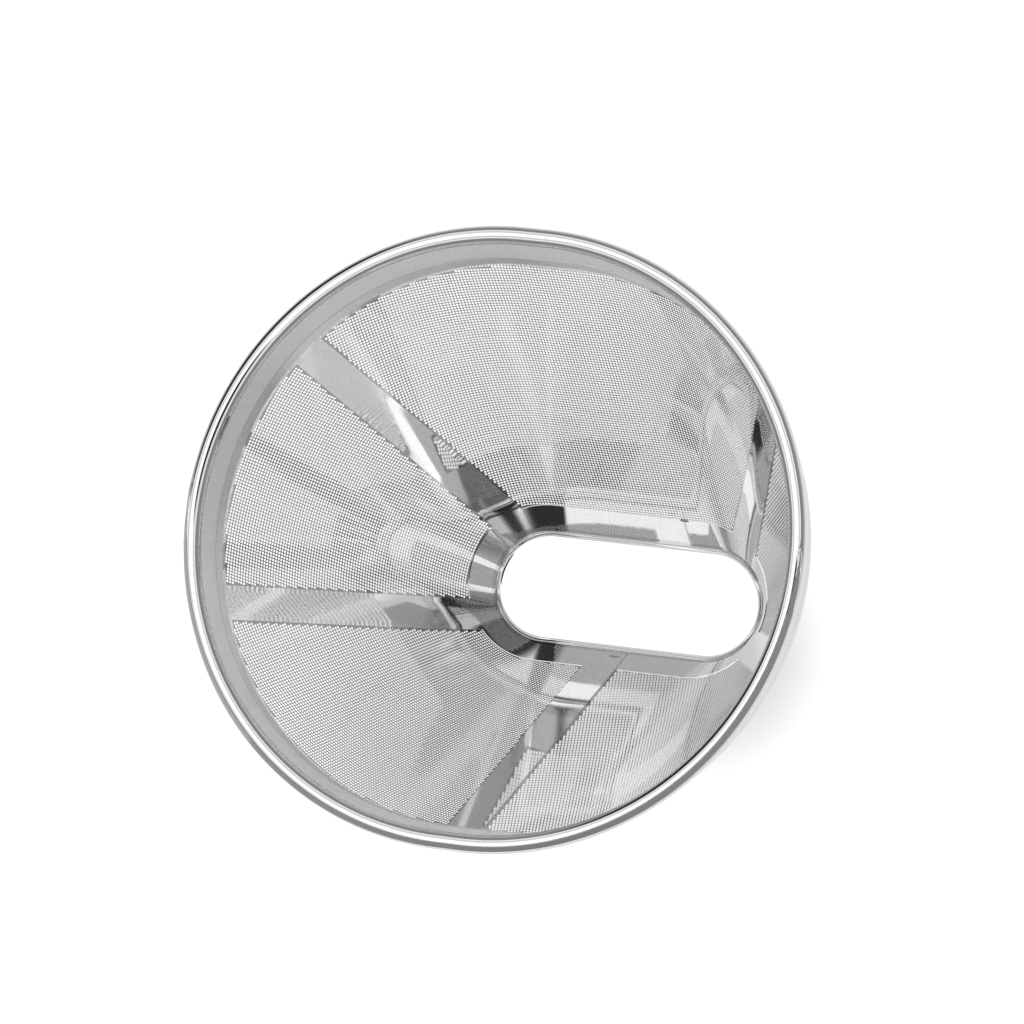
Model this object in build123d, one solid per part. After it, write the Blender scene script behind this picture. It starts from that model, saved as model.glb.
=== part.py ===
"""Reusable cone coffee filter: an etched sheet cone, a rolled rim and a pressed oblong base pan.

Millimetres. The origin lies on the table under the middle of the base, X runs along the oblong
base, Y across it and Z up. Every level of the wall is an oblong: two half circles whose centres
lie on X, joined by two straight stretches. The oblong is long at the foot and nearly round at
the mouth, so the cone is two flat sides and two half cones, which rolls from one flat sheet. At
a knee near the top the cone bends into a steeper band, which the rim's skirt lines.
"""
import os
from math import asin, cos, pi, radians, sin, tan

from build123d import *

# Rim: a sheet curled outwards into a bead, with a skirt that lies inside the wall
RIM_WIDTH = 120.0
RIM_EXTRA_LENGTH = 4.4
RIM_TOP = 95.0
BEAD_DIAMETER = 3.6
RIM_SHEET = 0.4
SKIRT_DEPTH = 12.4
CURL_END_ANGLE = -118.0

# Wall: sheet thickness is measured level, as the oblongs are; the band closes in by its draft from
# the mouth down to the knee
WALL_SHEET = 0.35
FOOT_LENGTH = 58.0
FOOT_WIDTH = 24.4
FOOT_HEIGHT = 2.6
BAND_HEIGHT = 13.2
BAND_DRAFT = 2.0

# Perforated panels: plain stripes run up the wall between them, each given by the compass angle from
# +X at which its middle meets the bottom and the top of the perforated height
PANEL_BOTTOM = 9.5
KNEE_MARGIN = 1.0
STRIPE_ANGLES = ((26.4, 35.5), (153.6, 144.5), (195.7, 196.8), (270.0, 270.0), (344.3, 343.2))
STRIPE_WIDTH = 7.0
SLOT_PITCH = 2.6
SLOT_WIDTH = 1.1
SHORTEST_SLOT = 4.0
SLOT_CUT_DEPTH = 5.0

# Base pan: its flange stands round the outside of the wall's foot
PAN_SHEET = 0.4
PAN_RIM_HEIGHT = 5.6
PAN_BEND_RADIUS = 1.6

# Room left between two sheets that are welded face to face
WELD_GAP = 0.02

# Levels and half sizes that follow from the sizes above
BEAD_RADIUS = BEAD_DIAMETER / 2
BEAD_LEVEL = RIM_TOP - BEAD_RADIUS
BEAD_CENTRE_RADIUS = RIM_WIDTH / 2 - BEAD_RADIUS
MOUTH_HALF_STRAIGHT = RIM_EXTRA_LENGTH / 2
MOUTH_RADIUS = RIM_WIDTH / 2 - BEAD_DIAMETER + RIM_SHEET + WELD_GAP + WALL_SHEET
KNEE_LEVEL = BEAD_LEVEL - BAND_HEIGHT
KNEE_RADIUS = MOUTH_RADIUS - BAND_DRAFT
PANEL_TOP = KNEE_LEVEL - KNEE_MARGIN
FOOT_RADIUS = FOOT_WIDTH / 2
FOOT_HALF_STRAIGHT = (FOOT_LENGTH - FOOT_WIDTH) / 2


def oblong_size(level: float) -> tuple[float, float]:
    """Half the straight stretch and the end radius of the wall's outer face at a level.

    The straight shrinks evenly from foot to mouth. The radius grows evenly up to the knee and more
    slowly above it, and carries the cone's slope on under the foot.
    """
    share = (level - FOOT_HEIGHT) / (BEAD_LEVEL - FOOT_HEIGHT)
    half = FOOT_HALF_STRAIGHT + share * (MOUTH_HALF_STRAIGHT - FOOT_HALF_STRAIGHT)
    if level > KNEE_LEVEL:
        radius = KNEE_RADIUS + (level - KNEE_LEVEL) / BAND_HEIGHT * BAND_DRAFT
    else:
        slope = (KNEE_RADIUS - FOOT_RADIUS) / (KNEE_LEVEL - FOOT_HEIGHT)
        radius = FOOT_RADIUS + slope * (level - FOOT_HEIGHT)
    return half, radius


def oblong(level: float, offset: float = 0.0) -> Wire:
    """Outline of the wall's outer face at a level, moved outwards by an offset."""
    half, radius = oblong_size(level)
    radius += offset
    lower = Line((-half, -radius, level), (half, -radius, level))
    right = ThreePointArc((half, -radius, level), (half + radius, 0, level), (half, radius, level))
    upper = Line((half, radius, level), (-half, radius, level))
    left = ThreePointArc((-half, radius, level), (-half - radius, 0, level), (-half, -radius, level))
    return Wire([lower, right, upper, left])


def cone_solid(low: float, high: float, offset: float = 0.0) -> Part:
    """Solid inside the wall's outer face between two levels, its face moved outwards by an offset."""
    levels = [low, high]
    if low < KNEE_LEVEL < high:
        levels.insert(1, KNEE_LEVEL)
    sections = [oblong(level, offset) for level in levels]
    return Part() + [Solid.make_loft(pair, ruled=True) for pair in zip(sections, sections[1:])]


def outline_place(level: float, angle: float) -> float:
    """Distance along the outline, counter-clockwise from +X, to the point seen at a compass angle."""
    half, radius = oblong_size(level)
    quarter = radius * pi / 2 + half
    turns, rest = divmod(angle, 180.0)
    folded = radians(min(rest, 180.0 - rest))
    if radius * cos(folded) < half * sin(folded):
        place = quarter - radius / tan(folded)
    else:
        place = radius * (folded + asin(half * sin(folded) / radius))
    if rest > 90.0:
        place = 2 * quarter - place
    return 2 * quarter * turns + place


def outline_spot(level: float, place: float) -> tuple[Vector, Vector]:
    """Point of the outer face at a distance along the outline, and the level direction out of it."""
    half, radius = oblong_size(level)
    outline = oblong(level)
    from_start = (place + 2 * half + radius * pi / 2) % outline.length
    spot = outline.position_at(from_start, position_mode=PositionMode.LENGTH)
    along = outline.tangent_at(from_start, position_mode=PositionMode.LENGTH)
    return spot, along.cross(Vector(0, 0, 1))


def slot_cutter(column: float, bottom: float, middle: tuple[float, float]) -> Part:
    """Thin block through the wall along one column, which keeps its distance from the panel's middle."""
    ends = []
    for level in (bottom, PANEL_TOP):
        share = (level - PANEL_BOTTOM) / (PANEL_TOP - PANEL_BOTTOM)
        middle_angle = middle[0] + share * (middle[1] - middle[0])
        ends.append(outline_spot(level, outline_place(level, middle_angle) + column))
    (low, low_out), (high, high_out) = ends
    along = high - low
    outwards = low_out + high_out
    normal = outwards - along * (outwards.dot(along) / along.dot(along))
    return Plane((low + high) / 2, x_dir=along, z_dir=normal) * Box(along.length, SLOT_WIDTH, SLOT_CUT_DEPTH)


def panel_slots(first: tuple[float, float], second: tuple[float, float]) -> list[Part]:
    """Cutters for the panel between two stripes: parallel columns, each cut off at the stripe it meets."""
    middle = ((first[0] + second[0]) / 2, (first[1] + second[1]) / 2)
    widths = []
    for level, one, other in zip((PANEL_BOTTOM, PANEL_TOP), first, second):
        widths.append((outline_place(level, other) - outline_place(level, one) - STRIPE_WIDTH) / 2)
    half_low, half_high = widths
    cutters = []
    count = int((half_high - SLOT_PITCH / 2) / SLOT_PITCH)
    for number in range(-count, count + 1):
        column = number * SLOT_PITCH
        edge = abs(column) + SLOT_WIDTH / 2
        share = max(0.0, (edge - half_low) / (half_high - half_low))
        bottom = PANEL_BOTTOM + share * (PANEL_TOP - PANEL_BOTTOM)
        if PANEL_TOP - bottom > SHORTEST_SLOT:
            cutters.append(slot_cutter(column, bottom, middle))
    return cutters


def make_wall() -> Part:
    """The rolled sheet cone, from the foot inside the pan to its edge inside the curled bead."""
    shell = cone_solid(FOOT_HEIGHT, BEAD_LEVEL) - cone_solid(FOOT_HEIGHT, BEAD_LEVEL, -WALL_SHEET)
    cutters = []
    for index, stripe in enumerate(STRIPE_ANGLES[:-1]):
        cutters += panel_slots(stripe, STRIPE_ANGLES[index + 1])
    wrapped = (STRIPE_ANGLES[0][0] + 360.0, STRIPE_ANGLES[0][1] + 360.0)
    cutters += panel_slots(STRIPE_ANGLES[-1], wrapped)
    return Part() + shell - cutters


def curl_section() -> Face:
    """Section of the curled bead in the XZ plane, open towards the wall underneath."""
    inner_radius = BEAD_RADIUS - RIM_SHEET
    sweep_angle = CURL_END_ANGLE - 180.0
    outer = CenterArc((0, 0), BEAD_RADIUS, 180, sweep_angle)
    inner = CenterArc((0, 0), inner_radius, 180, sweep_angle)
    ends = [Line(outer @ 0, inner @ 0), Line(outer @ 1, inner @ 1)]
    face = make_face([outer, inner, *ends])
    return Plane.XZ * Pos(BEAD_CENTRE_RADIUS, BEAD_LEVEL) * face


def make_rim() -> Part:
    """The curled bead round the mouth and the skirt under it, which is one sheet with it."""
    section = curl_section()
    half_turn = revolve(Rot(0, 0, -90) * section, Axis.Z, 180)
    straight = extrude(Rot(0, 0, 90) * section, RIM_EXTRA_LENGTH / 2, both=True)
    right = Pos(MOUTH_HALF_STRAIGHT, 0, 0) * half_turn
    left = Rot(0, 0, 180) * right
    bead = right + left + straight + Rot(0, 0, 180) * straight
    low = BEAD_LEVEL - SKIRT_DEPTH
    face_offset = -WALL_SHEET - WELD_GAP
    skirt = cone_solid(low, BEAD_LEVEL, face_offset) - cone_solid(low, BEAD_LEVEL, face_offset - RIM_SHEET)
    return bead + skirt


def make_pan() -> Part:
    """The pressed base: a flat oblong floor, a rounded bend and a flange round the wall's foot."""
    outer = cone_solid(0, PAN_RIM_HEIGHT, WELD_GAP + PAN_SHEET)
    inner = cone_solid(PAN_SHEET, PAN_RIM_HEIGHT, WELD_GAP)
    outer = fillet(outer.edges().group_by(Axis.Z)[0], PAN_BEND_RADIUS + PAN_SHEET)
    inner = fillet(inner.edges().group_by(Axis.Z)[0], PAN_BEND_RADIUS)
    return Part() + outer - inner


PIECES = {"filter_wall": make_wall, "rim_ring": make_rim, "base_pan": make_pan}

os.makedirs("parts", exist_ok=True)
for node, make_piece in PIECES.items():
    piece = make_piece()
    export_step(piece, f"parts/{node}.step")
    print(node, len(piece.solids()), round(piece.volume, 1))
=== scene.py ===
"""Dresses the reusable cone coffee filter: etched wall, rolled rim, pressed base and a white studio.

Metres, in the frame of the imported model: X along the oblong base, Y across it, Z up.
"""
import logging
from dataclasses import dataclass, field
from enum import Enum, IntEnum
from math import cos, pi, radians, sin

import bpy
import numpy as np
from mathutils import Matrix, Vector


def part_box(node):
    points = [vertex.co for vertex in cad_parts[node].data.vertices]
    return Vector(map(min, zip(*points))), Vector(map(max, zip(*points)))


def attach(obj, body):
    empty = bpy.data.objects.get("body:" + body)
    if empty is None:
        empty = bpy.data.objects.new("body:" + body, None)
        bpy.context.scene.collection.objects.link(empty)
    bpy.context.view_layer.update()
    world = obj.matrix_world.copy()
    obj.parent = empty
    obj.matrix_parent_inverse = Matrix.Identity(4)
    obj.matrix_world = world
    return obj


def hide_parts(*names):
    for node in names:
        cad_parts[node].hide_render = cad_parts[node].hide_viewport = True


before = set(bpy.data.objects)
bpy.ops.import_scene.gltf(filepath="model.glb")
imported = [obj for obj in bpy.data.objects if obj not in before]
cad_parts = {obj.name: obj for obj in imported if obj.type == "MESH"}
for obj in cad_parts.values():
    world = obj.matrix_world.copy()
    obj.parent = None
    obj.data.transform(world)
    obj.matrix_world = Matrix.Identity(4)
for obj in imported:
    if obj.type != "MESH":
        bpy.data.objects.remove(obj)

LOG = logging.getLogger("coffee_filter")
MM = 0.001
UP = np.array([0.0, 0.0, 1.0])
OUTSIDE = "outside"
BAND_HEIGHT = 13.2 * MM
BAND_DRAFT = 2.0 * MM
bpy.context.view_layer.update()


class Slot(Enum):
    """Names of the material slots."""

    WALL = "wall_sheet"
    RIM = "rim_sheet"
    PAN = "pan_sheet"


class Node(Enum):
    """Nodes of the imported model."""

    WALL = "filter_wall"
    RIM = "rim_ring"
    PAN = "base_pan"


def map_range(
    tree: bpy.types.NodeTree,
    value: bpy.types.NodeSocket,
    source: tuple[float, float],
    target: tuple[float, float],
    smooth: bool = False,
) -> bpy.types.NodeSocket:
    """Adds a node that maps a value from one range to another.

    Args:
        tree: the nodes it joins.
        value: socket that gives the value.
        source: ends of the value's range.
        target: the result at each end.
        smooth: whether the result eases in and out.

    Returns:
        The socket with the result.
    """
    node = tree.nodes.new("ShaderNodeMapRange")
    if smooth:
        node.interpolation_type = "SMOOTHSTEP"
    for name, number in zip(("From Min", "From Max", "To Min", "To Max"), (*source, *target)):
        node.inputs[name].default_value = number
    tree.links.new(value, node.inputs["Value"])
    return node.outputs[0]


def multiply(
    tree: bpy.types.NodeTree, first: bpy.types.NodeSocket, second: bpy.types.NodeSocket
) -> bpy.types.NodeSocket:
    """Adds a node that multiplies two values.

    Args:
        tree: the nodes it joins.
        first: socket that gives one value.
        second: socket that gives the other.

    Returns:
        The socket with the product.
    """
    node = tree.nodes.new("ShaderNodeMath")
    node.operation = "MULTIPLY"
    tree.links.new(first, node.inputs[0])
    tree.links.new(second, node.inputs[1])
    return node.outputs[0]


def add_noise(
    tree: bpy.types.NodeTree, place: bpy.types.NodeSocket, scale: float, detail: float
) -> bpy.types.NodeSocket:
    """Adds a noise node.

    Args:
        tree: the nodes it joins.
        place: socket that gives the place.
        scale: how many features there are in a metre.
        detail: how many finer layers are added.

    Returns:
        The socket with the noise's value.
    """
    noise = tree.nodes.new("ShaderNodeTexNoise")
    noise.inputs["Scale"].default_value = scale
    noise.inputs["Detail"].default_value = detail
    tree.links.new(place, noise.inputs["Vector"])
    return noise.outputs[0]


@dataclass(frozen=True)
class Grain:
    """Shared shader group for polished rolled steel: polishing lines, smudges and a slight waviness.

    The lines are drawn out along Z. They vary the tone, and the smudges vary the roughness.
    """

    name: str = "polished_rolled_steel"
    inputs: tuple[tuple[str, float], ...] = (
        ("Tone", 0.75),
        ("Shine Low", 0.06),
        ("Shine High", 0.14),
        ("Lines", 0.05),
        ("Wave", 0.05),
    )
    line_squeeze: tuple[float, float, float] = (1.0, 1.0, 0.06)
    line_scale: float = 2600.0
    line_detail: float = 3.0
    line_range: tuple[float, float] = (0.25, 0.75)
    line_tone: tuple[float, float] = (0.94, 1.04)
    line_height: float = 0.02 * MM
    smudge_scale: float = 55.0
    smudge_detail: float = 4.0
    smudge_range: tuple[float, float] = (0.3, 0.7)
    wave_scale: float = 38.0
    wave_detail: float = 1.0
    wave_height: float = 0.3 * MM

    def group(self) -> bpy.types.NodeTree:
        """Builds the group once.

        Returns:
            A group with inputs for place, tone, line strength, gloss and waviness, and outputs for colour,
            roughness and normal.
        """
        if self.name in bpy.data.node_groups:
            return bpy.data.node_groups[self.name]
        tree = bpy.data.node_groups.new(self.name, "ShaderNodeTree")
        self._add_sockets(tree)
        nodes, link = tree.nodes, tree.links.new
        given = nodes.new("NodeGroupInput")
        result = nodes.new("NodeGroupOutput")
        squeeze = nodes.new("ShaderNodeVectorMath")
        squeeze.operation = "MULTIPLY"
        squeeze.inputs[1].default_value = self.line_squeeze
        link(given.outputs["Place"], squeeze.inputs[0])
        lines = add_noise(tree, squeeze.outputs[0], self.line_scale, self.line_detail)
        smudge = add_noise(tree, given.outputs["Place"], self.smudge_scale, self.smudge_detail)
        wave = add_noise(tree, given.outputs["Place"], self.wave_scale, self.wave_detail)
        tone = map_range(tree, lines, self.line_range, self.line_tone)
        link(multiply(tree, tone, given.outputs["Tone"]), result.inputs["Colour"])
        gloss = nodes.new("ShaderNodeMapRange")
        gloss.inputs["From Min"].default_value = self.smudge_range[0]
        gloss.inputs["From Max"].default_value = self.smudge_range[1]
        link(smudge, gloss.inputs["Value"])
        link(given.outputs["Shine Low"], gloss.inputs["To Min"])
        link(given.outputs["Shine High"], gloss.inputs["To Max"])
        link(gloss.outputs[0], result.inputs["Roughness"])
        rolled = nodes.new("ShaderNodeBump")
        rolled.inputs["Distance"].default_value = self.wave_height
        link(given.outputs["Wave"], rolled.inputs["Strength"])
        link(wave, rolled.inputs["Height"])
        polished = nodes.new("ShaderNodeBump")
        polished.inputs["Distance"].default_value = self.line_height
        link(given.outputs["Lines"], polished.inputs["Strength"])
        link(lines, polished.inputs["Height"])
        link(rolled.outputs["Normal"], polished.inputs["Normal"])
        link(polished.outputs["Normal"], result.inputs["Normal"])
        return tree

    def _add_sockets(self, tree: bpy.types.NodeTree) -> None:
        """Gives the group its inputs and outputs.

        Args:
            tree: the new group.
        """
        face = tree.interface
        face.new_socket("Place", in_out="INPUT", socket_type="NodeSocketVector")
        for name, value in self.inputs:
            socket = face.new_socket(name, in_out="INPUT", socket_type="NodeSocketFloat")
            socket.default_value = value
        face.new_socket("Colour", in_out="OUTPUT", socket_type="NodeSocketColor")
        face.new_socket("Roughness", in_out="OUTPUT", socket_type="NodeSocketFloat")
        face.new_socket("Normal", in_out="OUTPUT", socket_type="NodeSocketVector")


@dataclass(frozen=True)
class SteelFinish:
    """A steel finish: tone, range of roughness, strength of polishing lines and waviness.

    Faces that are marked as outside take a tone of their own, where one is given: a darker one is painted
    shade, for the shaded table that the outer skin mirrors.
    """

    name: str
    tone: float
    shine_low: float
    shine_high: float
    lines: float
    wave: float
    painted_outside_tone: float | None = None

    def material(self) -> bpy.types.Material:
        """Builds the material: the shared group feeds colour, roughness and normal of a metal shader.

        Returns:
            The new material.
        """
        material = bpy.data.materials.new(self.name)
        material.use_nodes = True
        tree = material.node_tree
        nodes, link = tree.nodes, tree.links.new
        nodes.clear()
        shader = nodes.new("ShaderNodeBsdfPrincipled")
        shader.inputs["Metallic"].default_value = 1.0
        output = nodes.new("ShaderNodeOutputMaterial")
        place = nodes.new("ShaderNodeTexCoord")
        grain = nodes.new("ShaderNodeGroup")
        grain.node_tree = Grain().group()
        grain.inputs["Tone"].default_value = self.tone
        grain.inputs["Shine Low"].default_value = self.shine_low
        grain.inputs["Shine High"].default_value = self.shine_high
        grain.inputs["Lines"].default_value = self.lines
        grain.inputs["Wave"].default_value = self.wave
        link(place.outputs["Object"], grain.inputs["Place"])
        # Painted shade: faces marked as outside take the outside tone.
        if self.painted_outside_tone is not None:
            mark = nodes.new("ShaderNodeAttribute")
            mark.attribute_name = OUTSIDE
            tone = map_range(tree, mark.outputs["Fac"], (0.0, 1.0), (self.tone, self.painted_outside_tone))
            link(tone, grain.inputs["Tone"])
        link(grain.outputs["Colour"], shader.inputs["Base Color"])
        link(grain.outputs["Roughness"], shader.inputs["Roughness"])
        link(grain.outputs["Normal"], shader.inputs["Normal"])
        link(shader.outputs[0], output.inputs["Surface"])
        return material


# The plain sheet's darker outside tone is painted shade on its outer skin.
PLAIN_SHEET = SteelFinish(
    "polished_sheet", tone=0.84, shine_low=0.02, shine_high=0.06, lines=0.02, wave=0.08, painted_outside_tone=0.56,
)
ETCHED_SHEET = SteelFinish("etched_sheet", tone=0.48, shine_low=0.03, shine_high=0.07, lines=0.06, wave=0.08)
ROLLED_RIM = SteelFinish("rolled_rim", tone=0.62, shine_low=0.02, shine_high=0.05, lines=0.03, wave=0.05)
SATIN_SKIRT = SteelFinish("satin_skirt", tone=0.95, shine_low=0.50, shine_high=0.60, lines=0.10, wave=0.05)
BRIGHT_HEM = SteelFinish("bright_hem", tone=0.95, shine_low=0.30, shine_high=0.42, lines=0.05, wave=0.08)
# The step line's dark tone is painted shade for the groove under the step.
STEP_PAINTED_SHADE = SteelFinish("step_painted_shade", tone=0.40, shine_low=0.35, shine_high=0.50, lines=0.20, wave=0.05)
PRESSED_PAN = SteelFinish("pressed_pan", tone=0.68, shine_low=0.02, shine_high=0.05, lines=0.02, wave=0.02)
WELD_BEAD = SteelFinish("weld_bead", tone=0.34, shine_low=0.25, shine_high=0.45, lines=0.30, wave=0.10)


def finish_pieces(
    pieces: list[bpy.types.Object], finish: SteelFinish, node: Node
) -> list[bpy.types.Object]:
    """Gives pieces their finish and the body they ride on, and hides the node they replace.

    Args:
        pieces: the pieces, which share one material.
        finish: their finish.
        node: the node that they replace.

    Returns:
        The same pieces.
    """
    material = finish.material()
    for piece in pieces:
        piece.data.materials.append(material)
        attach(piece, "root")
        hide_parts(node.value)
    return pieces


@dataclass(frozen=True)
class ConeForm:
    """The wall's outer face: every level is an oblong of two half circles joined by two straight stretches.

    The half straight shrinks evenly from foot to mouth. The end radius grows evenly up to the knee and more
    slowly in the band above it. A station runs round the outline from the middle of the -Y side,
    counter-clockwise seen from above, and is counted in metres of the outline half way up.
    """

    foot_level: float
    knee_level: float
    mouth_level: float
    foot_half: float
    mouth_half: float
    foot_radius: float
    knee_radius: float
    mouth_radius: float
    knee_bend: float = 1.2 * MM

    @classmethod
    def from_frame(cls, pan_flange: float, band_height: float, band_draft: float) -> "ConeForm":
        """Works the form out from the boxes of the wall, the rim and the base pan.

        Args:
            pan_flange: thickness of the pan's flange, with its weld gap, outside the wall.
            band_height: height of the band, from the knee to the mouth.
            band_draft: how far the band closes in from the mouth down to the knee.

        Returns:
            The form whose outer face is the wall's.
        """
        wall_low, wall_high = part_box(Node.WALL.value)
        rim_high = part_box(Node.RIM.value)[1]
        pan_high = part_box(Node.PAN.value)[1]
        mouth_half = rim_high[0] - rim_high[1]
        knee_level, knee_radius = wall_high[2] - band_height, wall_high[1] - band_draft
        pan_half, pan_radius = pan_high[0] - pan_high[1], pan_high[1] - pan_flange
        under_pan = wall_low[2] - pan_high[2]
        half_slope = (mouth_half - pan_half) / (wall_high[2] - pan_high[2])
        radius_slope = (knee_radius - pan_radius) / (knee_level - pan_high[2])
        return cls(
            foot_level=wall_low[2],
            knee_level=knee_level,
            mouth_level=wall_high[2],
            foot_half=pan_half + half_slope * under_pan,
            mouth_half=mouth_half,
            foot_radius=pan_radius + radius_slope * under_pan,
            knee_radius=knee_radius,
            mouth_radius=wall_high[1],
        )

    @property
    def half_slope(self) -> float:
        """Change of the half straight with height."""
        return (self.mouth_half - self.foot_half) / (self.mouth_level - self.foot_level)

    @property
    def cone_slope(self) -> float:
        """Change of the end radius with height below the knee."""
        return (self.knee_radius - self.foot_radius) / (self.knee_level - self.foot_level)

    @property
    def band_slope(self) -> float:
        """Change of the end radius with height above the knee."""
        return (self.mouth_radius - self.knee_radius) / (self.mouth_level - self.knee_level)

    @property
    def knots(self) -> np.ndarray:
        """Stations where the outline changes from straight to round.

        Returns:
            The start, the four corners and the start again, a full length on.
        """
        half_run = (self.foot_half + self.mouth_half) / 2
        arc_run = pi * (self.foot_radius + self.knee_radius) / 2
        return np.cumsum([0.0, half_run, arc_run, 2 * half_run, arc_run, half_run])

    @property
    def length(self) -> float:
        """Length of the outline half way up."""
        return float(self.knots[-1])

    def heading(self, station: np.ndarray) -> tuple[np.ndarray, np.ndarray]:
        """Finds which way the outline faces.

        Args:
            station: place round the outline.

        Returns:
            Share of the half straight (-1 to 1) and the compass heading in radians.
        """
        place = np.mod(station, self.length)
        share = np.interp(place, self.knots, [0.0, 1.0, 1.0, -1.0, -1.0, 0.0])
        angle = np.interp(place, self.knots, np.radians([-90.0, -90.0, 90.0, 90.0, 270.0, 270.0]))
        return share, angle

    def size_at(self, level: np.ndarray) -> tuple[np.ndarray, np.ndarray]:
        """Sizes of the oblong: its end radius is the smaller of the cone's and the band's.

        Args:
            level: height.

        Returns:
            Half straight and end radius.
        """
        above_foot = np.asarray(level, dtype=float) - self.foot_level
        above_knee = np.asarray(level, dtype=float) - self.knee_level
        half = self.foot_half + self.half_slope * above_foot
        cone = self.foot_radius + self.cone_slope * above_foot
        band = self.knee_radius + self.band_slope * above_knee
        return half, np.minimum(cone, band)

    def point(self, station: np.ndarray, level: np.ndarray, spread: float | np.ndarray = 0.0) -> np.ndarray:
        """Point of the outer face: the straight's share along X plus the end radius along the heading.

        Args:
            station: place round the outline.
            level: height.
            spread: level distance added to the end radius.

        Returns:
            Points in the last axis of an array.
        """
        share, angle = self.heading(station)
        half, radius = self.size_at(level)
        reach = radius + spread
        x = share * half + reach * np.cos(angle)
        y = reach * np.sin(angle)
        return np.stack(np.broadcast_arrays(x, y, np.asarray(level, dtype=float)), axis=-1)

    def normal(self, station: np.ndarray, level: np.ndarray) -> np.ndarray:
        """Outward normal: level along the heading, down by the slope, which turns over the knee's bend.

        Args:
            station: place round the outline.
            level: height.

        Returns:
            Unit vectors in the last axis of an array.
        """
        share, angle = self.heading(station)
        past = np.clip((np.asarray(level, dtype=float) - self.knee_level) / self.knee_bend + 0.5, 0.0, 1.0)
        slope = self.cone_slope + past * (self.band_slope - self.cone_slope)
        drop = -(slope + self.half_slope * share * np.cos(angle))
        out = np.stack(np.broadcast_arrays(np.cos(angle), np.sin(angle), drop), axis=-1)
        return out / np.linalg.norm(out, axis=-1, keepdims=True)

    def offset_point(self, station: np.ndarray, level: np.ndarray, depth: float | np.ndarray) -> np.ndarray:
        """Point a depth inside the outer face, measured square to the sheet."""
        return self.point(station, level) - np.asarray(depth)[..., None] * self.normal(station, level)

    def station_at(self, level: float, compass: float, samples: int = 4000) -> float:
        """Finds the outline point seen from the middle at a compass angle.

        Args:
            level: height.
            compass: angle in degrees from +X.
            samples: stations tried round the outline.

        Returns:
            Its station.
        """
        stations = np.linspace(0.0, self.length, samples, endpoint=False)
        spots = self.point(stations, np.full(samples, level))
        seen = np.unwrap(np.arctan2(spots[:, 1], spots[:, 0]))
        target = radians(-90.0 + (compass + 90.0) % 360.0)
        return float(np.interp(target, seen, stations))


@dataclass
class FlatPattern:
    """The cone laid out flat from foot to knee: strips between neighbouring straight lines, in one plane."""

    form: ConeForm
    lines: int = 2400
    hair: float = 1e-9
    stations: np.ndarray = field(init=False)
    feet: np.ndarray = field(init=False)
    spans: np.ndarray = field(init=False)

    def __post_init__(self) -> None:
        """Lays the strips side by side: each turns by the angle its two straight lines make with its foot."""
        form = self.form
        self.stations = np.linspace(0.0, self.last_station, self.lines)
        low = form.point(self.stations, np.full(self.lines, form.foot_level))
        high = form.point(self.stations, np.full(self.lines, form.knee_level))
        edge = np.diff(low, axis=0)
        edge_length = np.linalg.norm(edge, axis=1)
        span = high - low
        span_length = np.linalg.norm(span, axis=1)
        ahead = self._angle(edge, span[:-1])
        behind = self._angle(edge, span[1:])
        turn = np.concatenate([[0.0], np.cumsum(behind[:-1] - ahead[1:])])
        steps = edge_length[:, None] * np.stack([np.cos(turn), np.sin(turn)], axis=1)
        self.feet = np.concatenate([np.zeros((1, 2)), np.cumsum(steps, axis=0)])
        direction = np.concatenate([turn + ahead, [turn[-1] + behind[-1]]])
        self.spans = span_length[:, None] * np.stack([np.cos(direction), np.sin(direction)], axis=1)

    @property
    def last_station(self) -> float:
        """Far end of the pattern, a hair short of the full length so that it isn't folded to the start."""
        return self.form.length * (1 - self.hair)

    @staticmethod
    def _angle(first: np.ndarray, second: np.ndarray) -> np.ndarray:
        """Angle between two rows of vectors."""
        across = np.linalg.norm(np.cross(first, second), axis=1)
        return np.arctan2(across, np.sum(first * second, axis=1))

    def lay(self, station: np.ndarray, level: np.ndarray) -> np.ndarray:
        """Flat places: each a share of the way up the flat straight line.

        Args:
            station: place round the outline.
            level: height.

        Returns:
            Flat places in the last axis of an array.
        """
        form = self.form
        part = (np.asarray(level) - form.foot_level) / (form.knee_level - form.foot_level)
        columns = []
        for axis in range(2):
            foot = np.interp(station, self.stations, self.feet[:, axis])
            columns.append(foot + part * np.interp(station, self.stations, self.spans[:, axis]))
        return np.stack(columns, axis=-1)

    def lift(self, flat: np.ndarray) -> tuple[np.ndarray, np.ndarray]:
        """Station and level of flat places, found by halving the range of straight lines that hold them.

        Args:
            flat: rows of flat places.

        Returns:
            Stations and levels.
        """
        low = np.zeros(len(flat), dtype=int)
        high = np.full(len(flat), self.lines - 1)
        for _ in range(int(np.ceil(np.log2(self.lines)))):
            middle = (low + high) // 2
            passed = self._ahead(middle, flat) >= 0
            low = np.where(passed, middle, low)
            high = np.where(passed, high, middle)
        near = self._ahead(low, flat)
        far = self._ahead(low + 1, flat)
        part = near / (near - far)
        foot = self.feet[low] + part[:, None] * (self.feet[low + 1] - self.feet[low])
        span = self.spans[low] + part[:, None] * (self.spans[low + 1] - self.spans[low])
        rise = np.sum((flat - foot) * span, axis=1) / np.sum(span * span, axis=1)
        station = self.stations[low] + part * (self.stations[low + 1] - self.stations[low])
        level = self.form.foot_level + rise * (self.form.knee_level - self.form.foot_level)
        return station, level

    def _ahead(self, line: np.ndarray, flat: np.ndarray) -> np.ndarray:
        """How far each flat place lies past a straight line, along the stations.

        Args:
            line: number of a straight line for each place.
            flat: rows of flat places.

        Returns:
            Distances, negative before the line.
        """
        span = self.spans[line]
        from_foot = flat - self.feet[line]
        side = span[:, 1] * from_foot[:, 0] - span[:, 0] * from_foot[:, 1]
        return side / np.linalg.norm(span, axis=1)


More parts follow.
